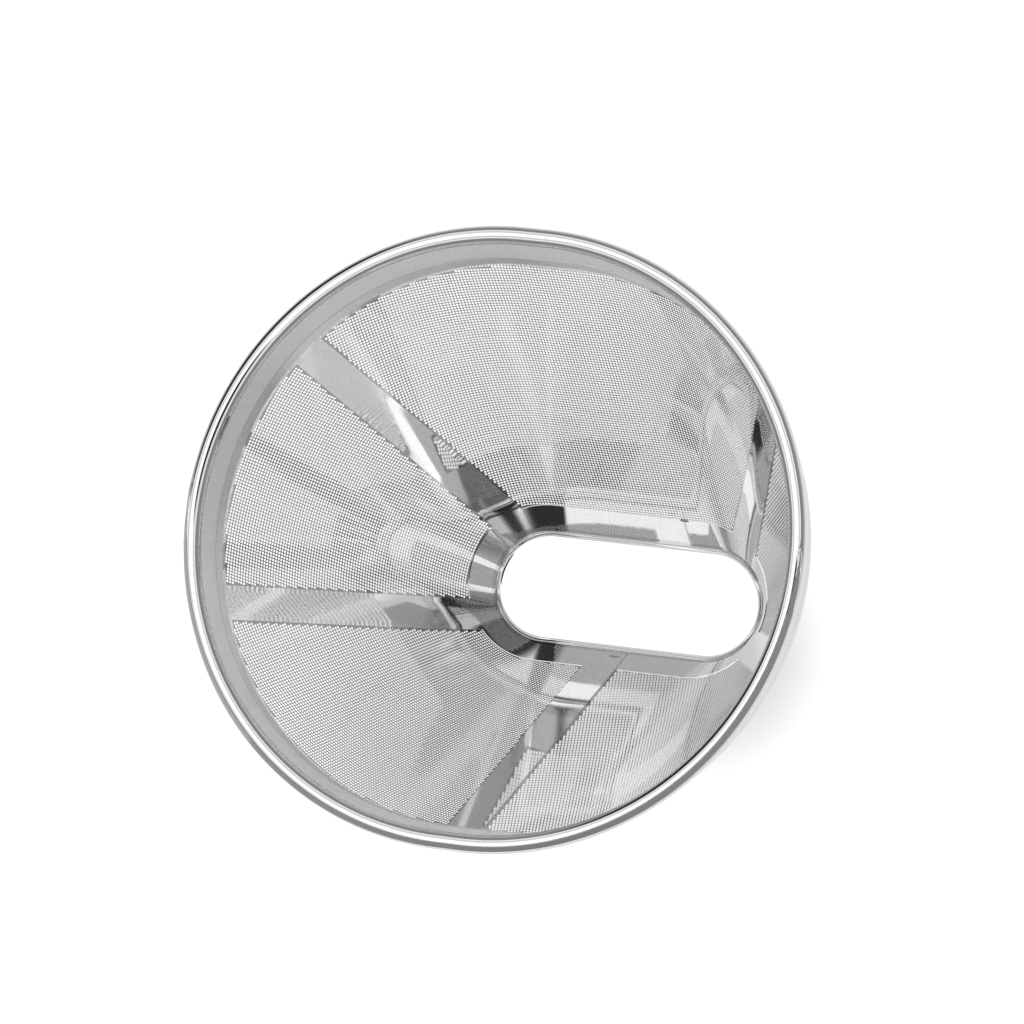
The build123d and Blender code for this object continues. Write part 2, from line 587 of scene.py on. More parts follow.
def make_object(name: str, points: np.ndarray, faces: list[np.ndarray], crease: float) -> bpy.types.Object:
    """Puts arrays into a mesh, smooth except over edges sharper than a crease.

    Args:
        name: the piece's name.
        points: rows of places.
        faces: arrays of corner numbers, one row for each face, all rows of one array as long.
        crease: angle in degrees above which an edge stays sharp.

    Returns:
        The new object, in the scene.
    """
    mesh = bpy.data.meshes.new(name)
    counts = np.concatenate([np.full(len(rows), rows.shape[1]) for rows in faces])
    corners = np.concatenate([rows.ravel() for rows in faces])
    mesh.vertices.add(len(points))
    mesh.vertices.foreach_set("co", np.ascontiguousarray(points, dtype=np.float32).ravel())
    mesh.loops.add(len(corners))
    mesh.loops.foreach_set("vertex_index", corners.astype(np.int32))
    mesh.polygons.add(len(counts))
    starts = np.concatenate([[0], np.cumsum(counts)[:-1]])
    mesh.polygons.foreach_set("loop_start", starts.astype(np.int32))
    mesh.update(calc_edges=True)
    mesh.validate()
    mesh.polygons.foreach_set("use_smooth", np.ones(len(mesh.polygons), dtype=bool))
    mesh.set_sharp_from_angle(angle=radians(crease))
    piece = bpy.data.objects.new(name, mesh)
    bpy.context.scene.collection.objects.link(piece)
    return piece


def ring_faces(rings: int, around: int, closed_rings: bool) -> np.ndarray:
    """Quads of a grid of rings that closes round the outline.

    Args:
        rings: number of rings.
        around: points on a ring.
        closed_rings: whether the last ring joins the first.

    Returns:
        Corner numbers, with the ring as the slow index.
    """
    ring = np.arange(rings if closed_rings else rings - 1)
    spot = np.arange(around)
    first, second = np.meshgrid(ring, spot, indexing="ij")
    beside = (second + 1) % around
    lower_ring = first * around
    upper_ring = (first + 1) % rings * around
    quads = [lower_ring + second, lower_ring + beside, upper_ring + beside, upper_ring + second]
    return np.stack(quads, axis=-1).reshape(-1, 4)


@dataclass(frozen=True)
class SheetCells:
    """A grid of cells cut from sheet: which cells are there, and the two skins and edges that follow."""

    present: np.ndarray

    def faces(self) -> tuple[np.ndarray, np.ndarray]:
        """Quads of both skins and of every edge between a cell that is there and one that isn't.

        Returns:
            Used grid corners, and the quads on them: outer skin first, then inner skin with its numbers moved
            up by the count of used corners.
        """
        cells_x, cells_y = self.present.shape
        corner = np.arange((cells_x + 1) * (cells_y + 1)).reshape(cells_x + 1, cells_y + 1)
        here = self.present
        quad = np.stack([corner[:-1, :-1], corner[1:, :-1], corner[1:, 1:], corner[:-1, 1:]], axis=-1)[here]
        used = np.unique(quad)
        number = np.full(corner.size, -1)
        number[used] = np.arange(len(used))
        outer = number[quad]
        inner = outer[:, ::-1] + len(used)
        padded = np.pad(here, 1)
        edges = [
            self._edge(padded[:-1, 1:-1], padded[1:, 1:-1], corner[:, :-1], corner[:, 1:]),
            self._edge(padded[1:-1, 1:], padded[1:-1, :-1], corner[:-1, :], corner[1:, :]),
        ]
        start, end = np.concatenate(edges).T
        start, end = number[start], number[end]
        walls = np.stack([start, start + len(used), end + len(used), end], axis=1)
        return used, np.concatenate([outer, inner, walls])

    @staticmethod
    def _edge(before: np.ndarray, after: np.ndarray, low: np.ndarray, high: np.ndarray) -> np.ndarray:
        """Directed edges, with the sheet on their left, where one side is there and the other isn't.

        Args:
            before: whether the cell before each grid edge is there.
            after: whether the cell after it is there.
            low: corner at which the grid edge starts.
            high: corner at which it ends.

        Returns:
            Rows of start and end corners.
        """
        gone_after = before & ~after
        gone_before = after & ~before
        forward = np.stack([low[gone_after], high[gone_after]], axis=1)
        backward = np.stack([high[gone_before], low[gone_before]], axis=1)
        return np.concatenate([forward, backward])


@dataclass(frozen=True)
class Stripe:
    """A plain stripe of the sheet: straight on the flat pattern, between the panels' bottom and top.

    Angles are compass angles from +X; the edges lie at flat distances before and after the middle line.
    """

    low_angle: float
    high_angle: float
    before: float = 3.5 * MM
    after: float = 3.5 * MM


@dataclass(frozen=True)
class FlatEdge:
    """A straight edge on the flat pattern: its ends, and the unit normal that points along the stations."""

    low: np.ndarray
    high: np.ndarray
    normal: np.ndarray

    def past(self, flat: np.ndarray) -> np.ndarray:
        """How far flat places lie past the edge; negative before it."""
        return (flat - self.low) @ self.normal


@dataclass(frozen=True)
class HoleLattice:
    """Rows and columns of holes on the flat pattern, in line with the middle of a panel."""

    foot: np.ndarray
    across: np.ndarray
    along: np.ndarray
    columns: np.ndarray
    rows: np.ndarray

    def places(self, x: np.ndarray, y: np.ndarray) -> np.ndarray:
        """Flat places at distances across and along."""
        return self.foot + x[..., None] * self.across + y[..., None] * self.along


class Cell(IntEnum):
    """What one cell of a hole lattice is."""

    GONE = 0
    PLAIN = 1
    HOLE = 2


@dataclass
class FilterWall:
    """The etched sheet: five perforated panels between plain stripes, a collar, a band and the weld seam.

    A panel is split in two where it has more than the most holes. Each spot weld is given by its compass
    angle and level.
    """

    form: ConeForm
    pattern: FlatPattern
    panel_bottom: float = 9.5 * MM
    knee_margin: float = 1.0 * MM
    sheet: float = 0.30 * MM
    panel_sheet: float = 0.07 * MM
    pitch_across: float = 0.62 * MM
    pitch_along: float = 0.80 * MM
    hole_across: float = 0.43 * MM
    hole_along: float = 0.60 * MM
    side_room: float = 0.37 * MM
    end_room: float = 0.32 * MM
    overlap: float = 0.8 * MM
    column_step: float = 0.9 * MM
    row_step: float = 0.9 * MM
    fewest_steps: int = 3
    most_holes: int = 9000
    crease: float = 35.0
    seam_place: float = 2.0 * MM
    seam_width: float = 0.34 * MM
    seam_proud: float = 0.04 * MM
    seam_rows: int = 90
    seam_around: int = 16
    seam_crease: float = 50.0
    spots: tuple[tuple[float, float], ...] = ((52.8, 9.2 * MM), (269.1, 4.2 * MM))
    spot_radius: float = 0.45 * MM
    spot_proud: float = 0.05 * MM
    spot_core: float = 0.05
    spot_rings: int = 6
    spot_around: int = 24
    spot_crease: float = 60.0
    stripes: tuple[Stripe, ...] = (
        Stripe(-90.0, -90.0, before=5.0 * MM, after=2.2 * MM),
        Stripe(-15.7, -16.8),
        Stripe(26.4, 35.5),
        Stripe(153.6, 144.5),
        Stripe(195.7, 196.8),
    )
    panel_names: tuple[str, ...] = ("front_right", "right_end", "back", "left_end", "front_left")

    def dress(self) -> list[bpy.types.Object]:
        """Builds the plain sheet, the panels and the welds, and gives each its finish.

        Returns:
            The pieces.
        """
        plain = finish_pieces([self.build_frame()], PLAIN_SHEET, Node.WALL)
        panels = []
        for index in range(len(self.stripes)):
            panels += self.build_panel(index)
        etched = finish_pieces(panels, ETCHED_SHEET, Node.WALL)
        beads = [self.build_seam(), self.build_weld_spots()]
        welds = finish_pieces(beads, WELD_BEAD, Node.WALL)
        return plain + etched + welds

    @property
    def panel_top(self) -> float:
        """Level of the panels' top, a margin under the knee."""
        return self.form.knee_level - self.knee_margin

    def edge(self, stripe: Stripe, shift: float, lap: float = 0.0) -> FlatEdge:
        """Flat edge of a stripe: its middle line moved sideways along the stations.

        Args:
            stripe: the stripe.
            shift: flat distance of the edge after the middle line.
            lap: station added to reach the far end of the pattern, for the stripe at its start.

        Returns:
            The edge between the panels' bottom and top.
        """
        ends = []
        for level, angle in ((self.panel_bottom, stripe.low_angle), (self.panel_top, stripe.high_angle)):
            ends.append(self.pattern.lay(self.form.station_at(level, angle) + lap, level))
        along = (ends[1] - ends[0]) / np.linalg.norm(ends[1] - ends[0])
        normal = np.array([along[1], -along[0]])
        return FlatEdge(ends[0] + shift * normal, ends[1] + shift * normal, normal)

    def panel_edges(self, index: int) -> tuple[FlatEdge, FlatEdge]:
        """Flat edges of a panel.

        Args:
            index: number of the panel.

        Returns:
            The edge it starts at and the one it ends at.
        """
        first = self.stripes[index]
        last_panel = index == len(self.stripes) - 1
        second = self.stripes[0] if last_panel else self.stripes[index + 1]
        lap = self.pattern.last_station if last_panel else 0.0
        return self.edge(first, first.after), self.edge(second, -second.before, lap)

    def edge_stations(self, edge: FlatEdge, levels: np.ndarray, samples: int = 400) -> np.ndarray:
        """Stations where a flat edge crosses the levels; beyond its ends it keeps its last station.

        Args:
            edge: the edge.
            levels: heights, in rising order.
            samples: points tried along the edge.

        Returns:
            One station for each level.
        """
        share = np.linspace(0.0, 1.0, samples)[:, None]
        station, level = self.pattern.lift(edge.low + share * (edge.high - edge.low))
        return np.interp(levels, level, station)

    def build_frame(self) -> bpy.types.Object:
        """The unperforated sheet: collar, band and stripes, as one grid with the panels' windows left out.

        Columns of the grid follow the stripes' edges and share out the room between them; rows are levels.

        Returns:
            The piece.
        """
        form = self.form
        levels = self._row_levels()
        crossings = [np.zeros(len(levels))]
        for index in range(len(self.stripes)):
            crossings += [self.edge_stations(edge, levels) for edge in self.panel_edges(index)]
        crossings.append(np.full(len(levels), self.pattern.last_station))
        columns, windows = [], []
        for index, (start, end) in enumerate(zip(crossings, crossings[1:])):
            count = max(self.fewest_steps, round(float(np.median(end - start)) / self.column_step))
            share = np.arange(count) / count
            columns.append(start + share[:, None] * (end - start))
            windows.append(np.full(count, index % 2 == 1))
        stations = np.concatenate([*columns, crossings[-1][None, :]])
        centre = (levels[:-1] + levels[1:]) / 2
        open_row = (centre > self.panel_bottom) & (centre < self.panel_top)
        plain = ~(np.concatenate(windows)[:, None] & open_row)
        used, faces = SheetCells(plain).faces()
        place = stations.ravel()[used]
        height = np.broadcast_to(levels, stations.shape).ravel()[used]
        skins = [form.offset_point(place, height, depth) for depth in (0.0, self.sheet)]
        piece = make_object("wall_plain_sheet", np.concatenate(skins), [faces], self.crease)
        self._mark_outside(piece, int(np.sum(plain)))
        return piece

    def _row_levels(self) -> np.ndarray:
        """Levels of the plain sheet's rows.

        Returns:
            Even steps from foot to mouth, with a row at the panels' bottom and top and at the knee.
        """
        form = self.form
        marks = (form.foot_level, self.panel_bottom, self.panel_top, form.knee_level, form.mouth_level)
        rows = []
        for low, high in zip(marks, marks[1:]):
            count = max(self.fewest_steps, round((high - low) / self.row_step))
            rows.append(np.linspace(low, high, count, endpoint=False))
        return np.concatenate([*rows, [form.mouth_level]])

    @staticmethod
    def _mark_outside(piece: bpy.types.Object, cells: int) -> None:
        """Marks the faces of the outer skin, which come first, in the attribute that the finish reads for its
        painted shade.
        """
        mark = piece.data.attributes.new(OUTSIDE, "FLOAT", "FACE")
        mark.data.foreach_set("value", (np.arange(len(piece.data.polygons)) < cells).astype(np.float32))

    def build_panel(self, index: int) -> list[bpy.types.Object]:
        """One perforated panel: a flat lattice of holes in line with the panel's middle, bent on to the cone.

        Grid lines run along both sides of every row and column of holes. A cell of the lattice is a hole
        where it fits inside the window, plain for an overlap around that, and absent further out.

        Args:
            index: number of the panel.

        Returns:
            The pieces of the panel.
        """
        start, end = self.panel_edges(index)
        lattice = self._lattice(start, end)
        state = self._cell_state(lattice, start, end)
        grid = self._grid_state(state)
        across = (lattice.columns[:, None] + self.hole_across / 2 * np.array([-1, 1])).ravel()
        along = (lattice.rows[:, None] + self.hole_along / 2 * np.array([-1, 1])).ravel()
        holes = np.cumsum(np.sum(state == Cell.HOLE, axis=1))
        parts = int(np.ceil(holes[-1] / self.most_holes))
        cuts = [2 * int(np.searchsorted(holes, holes[-1] * part / parts)) for part in range(parts)]
        pieces = []
        for part, (begin, stop) in enumerate(zip(cuts, [*cuts[1:], grid.shape[0]])):
            name = f"wall_panel_{self.panel_names[index]}" + (f"_{part + 1}" if parts > 1 else "")
            used, faces = SheetCells(grid[begin:stop]).faces()
            x = np.repeat(across[begin:stop + 1], len(along))[used]
            y = np.tile(along, stop + 1 - begin)[used]
            station, level = self.pattern.lift(lattice.places(x, y))
            inset = (self.sheet - self.panel_sheet) / 2
            skins = [self.form.offset_point(station, level, depth) for depth in (inset, self.sheet - inset)]
            pieces.append(make_object(name, np.concatenate(skins), [faces], self.crease))
        return pieces

    def _lattice(self, start: FlatEdge, end: FlatEdge, samples: int = 60) -> HoleLattice:
        """Lays rows and columns over a panel.

        Args:
            start: edge before the panel.
            end: edge after the panel.
            samples: points along the panel's bottom and top, which are curved on the flat pattern.

        Returns:
            A lattice with its foot at the middle of the panel's bottom.
        """
        foot, head = (start.low + end.low) / 2, (start.high + end.high) / 2
        along = (head - foot) / np.linalg.norm(head - foot)
        across = np.array([along[1], -along[0]])
        share = np.linspace(0.0, 1.0, samples)
        curves = []
        sides = ((self.panel_bottom, start.low, end.low), (self.panel_top, start.high, end.high))
        for level, first, second in sides:
            begin, stop = self.pattern.lift(np.stack([first, second]))[0]
            curves.append(self.pattern.lay(begin + share * (stop - begin), np.full(samples, level)))
        outline = np.concatenate(curves) - foot
        reach = int(np.ceil((np.abs(outline @ across).max() + self.overlap) / self.pitch_across))
        low = int(np.floor(((outline @ along).min() - self.overlap) / self.pitch_along))
        high = int(np.ceil(((outline @ along).max() + self.overlap) / self.pitch_along))
        columns = np.arange(-reach, reach + 1) * self.pitch_across
        return HoleLattice(foot, across, along, columns, np.arange(low, high + 1) * self.pitch_along)

    def _cell_state(self, lattice: HoleLattice, start: FlatEdge, end: FlatEdge) -> np.ndarray:
        """Marks each cell of a lattice as a hole, plain sheet or gone.

        Args:
            lattice: the panel's lattice.
            start: edge before the panel.
            end: edge after the panel.

        Returns:
            What each cell is, columns first.
        """
        x, y = np.meshgrid(lattice.columns, lattice.rows, indexing="ij")
        flat = lattice.places(x, y).reshape(-1, 2)
        level = self.pattern.lift(flat)[1]
        inside = np.minimum(start.past(flat), -end.past(flat))
        height = np.minimum(level - self.panel_bottom, self.panel_top - level)
        hole = (inside > self.side_room) & (height > self.end_room)
        near = (inside > -self.overlap) & (height > -self.overlap)
        return np.select([hole, near], [Cell.HOLE, Cell.PLAIN], Cell.GONE).reshape(x.shape)

    @staticmethod
    def _grid_state(state: np.ndarray) -> np.ndarray:
        """Finds the sheet in the finer grid: plain cells, and the strips between cells that aren't gone.

        Args:
            state: what each cell of the lattice is.

        Returns:
            Whether each cell of the finer grid holds sheet.
        """
        there = state != Cell.GONE
        grid = np.zeros((2 * state.shape[0] - 1, 2 * state.shape[1] - 1), dtype=bool)
        grid[0::2, 0::2] = state == Cell.PLAIN
        grid[1::2, 0::2] = there[:-1] & there[1:]
        grid[0::2, 1::2] = there[:, :-1] & there[:, 1:]
        grid[1::2, 1::2] = there[:-1, :-1] & there[1:, :-1] & there[:-1, 1:] & there[1:, 1:]
        return grid

    def build_seam(self) -> bpy.types.Object:
        """The butt weld: a flat oval bead carried up the -Y side, a little proud of both skins.

        Returns:
            The piece, from the foot to the knee.
        """
        form = self.form
        rows, around = self.seam_rows, self.seam_around
        turn = np.linspace(0.0, 2 * pi, around, endpoint=False)
        levels = np.linspace(form.foot_level + self.seam_proud, form.knee_level, rows)
        place = np.zeros(rows)
        depth = self.sheet / 2 + (self.sheet / 2 + self.seam_proud) * np.sin(turn)
        points = form.point(place, levels)[:, None] - depth[:, None] * form.normal(place, levels)[:, None]
        points[..., 0] += self.seam_place + self.seam_width / 2 * np.cos(turn)
        sides = ring_faces(rows, around, closed_rings=False)[:, ::-1]
        caps = np.stack([np.arange(around), (rows - 1) * around + np.arange(around)[::-1]])
        return make_object("wall_seam_weld", points.reshape(-1, 3), [sides, caps], self.seam_crease)

    def build_weld_spots(self) -> bpy.types.Object:
        """Small round spot welds on the inner skin: each a low dome, higher by one less its radius squared.

        Returns:
            The piece, whose domes are closed inside the sheet.
        """
        form = self.form
        rings, around = self.spot_rings, self.spot_around
        turn = np.linspace(0.0, 2 * pi, around, endpoint=False)
        part = np.concatenate([np.linspace(self.spot_core, 1.0, rings), [self.spot_core]])[:, None]
        dome = self.sheet + self.spot_proud * (1 - part ** 2)
        depth = np.broadcast_to(dome, (rings + 1, around)).copy()
        depth[rings - 1:] = self.sheet / 2
        points, faces = [], []
        for compass, level in self.spots:
            stretch = form.length / self._outline_length(level)
            station = form.station_at(level, compass) + self.spot_radius * stretch * part * np.cos(turn)
            height = level + self.spot_radius * part * np.sin(turn)
            start = len(points) * (rings + 1) * around
            points.append(form.offset_point(station, height, depth).reshape(-1, 3))
            faces.append(ring_faces(rings + 1, around, closed_rings=True) + start)
        return make_object("wall_spot_welds", np.concatenate(points), faces, self.spot_crease)

    def _outline_length(self, level: float) -> float:
        """Length of the outline at a level."""
        half, radius = self.form.size_at(level)
        return float(4 * half + 2 * pi * radius)


@dataclass
class RimRing:
    """The rolled rim: a sheet curled outwards into a bead, with a skirt that lines the band.

    Angles turn round the bead's section, in degrees from outwards towards up. A flat ledge is pressed into
    the front half of the bead, between a low and a high angle. It narrows to its tip at both ends of the
    base's long axis, where it starts a lead past the axis and reaches its full width over a run-in. Lead and
    run-in are counted in the sine of the heading.
    """

    form: ConeForm
    wall_sheet: float = 0.35 * MM
    weld_gap: float = 0.02 * MM
    sheet: float = 0.40 * MM
    bead_radius: float = 1.8 * MM
    curl_end: float = -118.0
    crease: float = 40.0
    around: int = 480
    skirt_rows: int = 8
    curl_rows: int = 40
    inner_rows: int = 16
    ledge_rows: int = 5
    outer_rows: int = 22
    ledge_tip: float = 46.0
    ledge_low: float = 30.0
    ledge_high: float = 76.0
    ledge_narrow: float = 12.0
    ledge_lip: float = 2.0
    ledge_set_back: float = 8.0
    ledge_depth: float = 0.12 * MM
    crevice_depth: float = 0.32 * MM
    ledge_lead: float = 0.08
    ledge_run_in: float = 0.24
    step_depth: float = 8.3 * MM
    step_width: float = 0.30 * MM
    step_sink: float = 0.10 * MM

    def dress(self) -> list[bpy.types.Object]:
        """Builds the bead, the skirt, its step line and its hem, and gives each its finish.

        Returns:
            The pieces.
        """
        looks = (
            (self.build_bead(), ROLLED_RIM),
            (self.build_skirt(), SATIN_SKIRT),
            (self.build_step_line(), STEP_PAINTED_SHADE),
            (self.build_hem(), BRIGHT_HEM),
        )
        pieces = []
        for piece, finish in looks:
            pieces += finish_pieces([piece], finish, Node.RIM)
        return pieces

    @property
    def bead_level(self) -> float:
        """Level of the bead's middle line."""
        return float(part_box(Node.RIM.value)[1][2]) - self.bead_radius

    @property
    def step_level(self) -> float:
        """Level of the step line's upper edge."""
        return self.bead_level - self.step_depth

    def build_bead(self) -> bpy.types.Object:
        """Carries the curl round the mouth: over the outside of the sheet and back along its inside.

        Returns:
            The piece: its inside is round, and its outside has the ledge along the front half.
        """
        form = self.form
        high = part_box(Node.RIM.value)[1]
        share, angle = form.heading(self._stations())
        out = np.stack([np.cos(angle), np.sin(angle), np.zeros(self.around)], axis=-1)
        middle = out * (high[1] - self.bead_radius) + UP * (high[2] - self.bead_radius)
        middle[:, 0] += share * form.mouth_half
        turn = np.radians(np.linspace(180.0, self.curl_end, self.curl_rows))
        past_end = (self.ledge_lead - np.sin(angle)) / self.ledge_run_in
        reach, rise = self._outer_skin(np.sqrt(np.clip(past_end, 0.0, 1.0)))
        over = middle + reach[..., None] * out + rise[..., None] * UP
        back = self._curl(middle, out, self.bead_radius - self.sheet, turn[::-1])
        return self._ring("rim_bead", np.concatenate([over, back]))

    def _outer_skin(self, front: np.ndarray) -> tuple[np.ndarray, np.ndarray]:
        """Section of the bead's outer skin at each station, with a flat ledge along the front half.

        From the skirt the skin follows a circle over the top to the ledge and dips into a crevice. It runs
        straight along the ledge, a depth inside its chord, and then follows the circle on to the curl's end.

        Args:
            front: share of the ledge's full width and depth at each station.

        Returns:
            How far the points lie outwards and upwards from the middle line, one row for each line.
        """
        low = self.ledge_tip + front * (self.ledge_low - self.ledge_tip)
        tip_high = self.ledge_tip + self.ledge_narrow
        high = tip_high + front * (self.ledge_high - tip_high)
        inner = np.radians(180.0 + np.linspace(0.0, 1.0, self.inner_rows)[:, None] * (high - 180.0))
        dip = np.radians(high - self.ledge_lip)
        start = np.radians(high - self.ledge_set_back)
        end = np.radians(low + self.ledge_lip)
        outer = np.radians(low + np.linspace(0.0, 1.0, self.outer_rows)[:, None] * (self.curl_end - low))
        share = np.linspace(0.0, 1.0, self.ledge_rows)[:, None]
        skin = []
        for wave in (np.cos, np.sin):
            ledge = self.bead_radius * (wave(start) + share * (wave(end) - wave(start)))
            ledge -= self.ledge_depth * front * wave((start + end) / 2)
            crevice = (self.bead_radius - self.crevice_depth * front) * wave(dip)
            rounds = self.bead_radius * wave(inner), self.bead_radius * wave(outer)
            skin.append(np.concatenate([rounds[0], crevice[None, :], ledge, rounds[1]]))
        return skin[0], skin[1]

    def build_skirt(self) -> bpy.types.Object:
        """The skirt from the bead down to its step line."""
        return self._lining("rim_skirt", self.step_level, self.bead_level)

    def build_step_line(self) -> bpy.types.Object:
        """The fine line under the step, sunk below the skirt's inner face; its dark finish is painted shade
        in the groove.
        """
        low = self.step_level - self.step_width
        return self._lining("rim_step_line", low, self.step_level, self.step_sink)

    def build_hem(self) -> bpy.types.Object:
        """The hem under the step line, down to the skirt's edge."""
        edge = float(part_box(Node.RIM.value)[0][2])
        return self._lining("rim_hem", edge, self.step_level - self.step_width)

    def _lining(self, name: str, low: float, high: float, sink: float = 0.0) -> bpy.types.Object:
        """Carries sheet round the inside of the band: up its inner face and down its outer face.

        Args:
            name: the piece's name.
            low: level of its lower edge.
            high: level of its upper edge.
            sink: how far its inner face lies below the skirt's.

        Returns:
            The piece, at the band's slope.
        """
        levels = np.linspace(low, high, self.skirt_rows)[:, None]
        spread = -self.wall_sheet - self.weld_gap
        inner = self.form.point(self._stations(), levels, spread - self.sheet + sink)
        outer = self.form.point(self._stations(), levels[::-1], spread)
        return self._ring(name, np.concatenate([inner, outer]))

    def _stations(self) -> np.ndarray:
        """Even stations round the mouth."""
        return np.linspace(0.0, self.form.length, self.around, endpoint=False)

    def _ring(self, name: str, section: np.ndarray) -> bpy.types.Object:
        """A piece from the lines of a closed section."""
        faces = ring_faces(len(section), self.around, closed_rings=True)
        return make_object(name, section.reshape(-1, 3), [faces], self.crease)

    @staticmethod
    def _curl(middle: np.ndarray, out: np.ndarray, radius: float, turn: np.ndarray) -> np.ndarray:
        """Lines of the bead: the middle line plus a radius turned from outwards towards up."""
        bend = turn[:, None, None]
        return middle + radius * (np.cos(bend) * out + np.sin(bend) * UP)


@dataclass
class BasePan:
    """The pressed base: a flat oblong floor, a rounded bend and a flange round the wall's foot."""

    form: ConeForm
    sheet: float = 0.40 * MM
    weld_gap: float = 0.02 * MM
    bend_radius: float = 1.6 * MM
    crease: float = 40.0
    around: int = 480
    bend_rows: int = 14
    flange_rows: int = 6

    def dress(self) -> list[bpy.types.Object]:
        """Builds the pan and gives it its finish."""
        return finish_pieces([self.build()], PRESSED_PAN, Node.PAN)

    @property
    def flange(self) -> float:
        """Thickness of the flange with its weld gap."""
        return self.sheet + self.weld_gap

    def build(self) -> bpy.types.Object:
        """Carries the pan's section round the foot and closes the floor with a flat face on each side.

        Returns:
            The piece.
        """
        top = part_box(Node.PAN.value)[1][2]
        station = np.linspace(0.0, self.form.length, self.around, endpoint=False)
        inner = self._skin(station, self.weld_gap, self.sheet, self.bend_radius, top)
        outer = self._skin(station, self.flange, 0.0, self.bend_radius + self.sheet, top)
        lines = np.concatenate([inner, outer[::-1]])
        sides = ring_faces(len(lines), self.around, closed_rings=False)
        floor = np.arange(self.around)[None, :]
        under = floor[:, ::-1] + (len(lines) - 1) * self.around
        return make_object("base_floor_pan", lines.reshape(-1, 3), [sides, floor, under], self.crease)

    def _skin(self, station: np.ndarray, spread: float, floor: float, bend: float, top: float) -> np.ndarray:
        """Lines of one skin from the floor's edge up to the flange's top.

        The bend is an arc that touches the floor and the sloping flange: its middle lies one radius above
        the floor and one radius square to the flange.

        Args:
            station: places round the outline.
            spread: level distance of the flange outside the wall.
            floor: level of the skin's flat floor.
            bend: radius of the arc.
            top: level of the flange's edge.

        Returns:
            Lines from the floor's edge upwards.
        """
        form = self.form
        angle = form.heading(station)[1]
        normal = form.normal(station, form.foot_level)
        out = np.stack([np.cos(angle), np.sin(angle), np.zeros(len(angle))], axis=-1)
        tilt = np.arctan2(-normal[:, 2], np.hypot(normal[:, 0], normal[:, 1]))
        slide = bend * np.tan((pi / 2 - tilt) / 2)
        middle = form.point(station, floor, spread) - slide[:, None] * out + bend * UP
        share = np.linspace(0.0, 1.0, self.bend_rows)[:, None]
        bow = (share * (pi / 2 - tilt) - pi / 2)[..., None]
        arc = middle + bend * (np.cos(bow) * out + np.sin(bow) * UP)
        share = np.linspace(0.0, 1.0, self.flange_rows)[1:, None]
        height = arc[-1, :, 2] + share * (top - arc[-1, :, 2])
        return np.concatenate([arc, form.point(station, height, spread)])


@dataclass(frozen=True)
class Gap:
    """A dark gap in the surround: a cone round a direction, and how much light it lets through.

    The cone's inner and outer angle are in degrees from the direction.
    """

    towards: tuple[float, float, float]
    inner: float
    outer: float
    tone: float

    def factor(self, tree: bpy.types.NodeTree, place: bpy.types.NodeSocket) -> bpy.types.NodeSocket:
        """Adds nodes that go from one outside the cone to the gap's tone inside it.

        Args:
            tree: the surround's nodes.
            place: socket that gives the direction.

        Returns:
            The socket with the factor.
        """
        near = tree.nodes.new("ShaderNodeVectorMath")
        near.operation = "DOT_PRODUCT"
        near.inputs[1].default_value = Vector(self.towards).normalized()
        tree.links.new(place, near.inputs[0])
        edges = (cos(radians(self.outer)), cos(radians(self.inner)))
        return map_range(tree, near.outputs["Value"], edges, (1.0, self.tone), smooth=True)


@dataclass(frozen=True)
class PaintedShadow:
    """A painted shadow in the table's glow, not cast by the part: a round spot under it, and how much of the
    glow is left at its middle.
    """

    place: tuple[float, float, float]
    inner: float
    outer: float
    tone: float

    def factor(self, tree: bpy.types.NodeTree, place: bpy.types.NodeSocket) -> bpy.types.NodeSocket:
        """Adds nodes that go from the painted shadow's tone at its middle to one outside it.

        Args:
            tree: the table's nodes.
            place: socket that gives the place on the table.

        Returns:
            The socket with the factor.
        """
        away = tree.nodes.new("ShaderNodeVectorMath")
        away.operation = "DISTANCE"
        away.inputs[1].default_value = self.place
        tree.links.new(place, away.inputs[0])
        edges = (self.inner, self.outer)
        return map_range(tree, away.outputs["Value"], edges, (self.tone, 1.0), smooth=True)


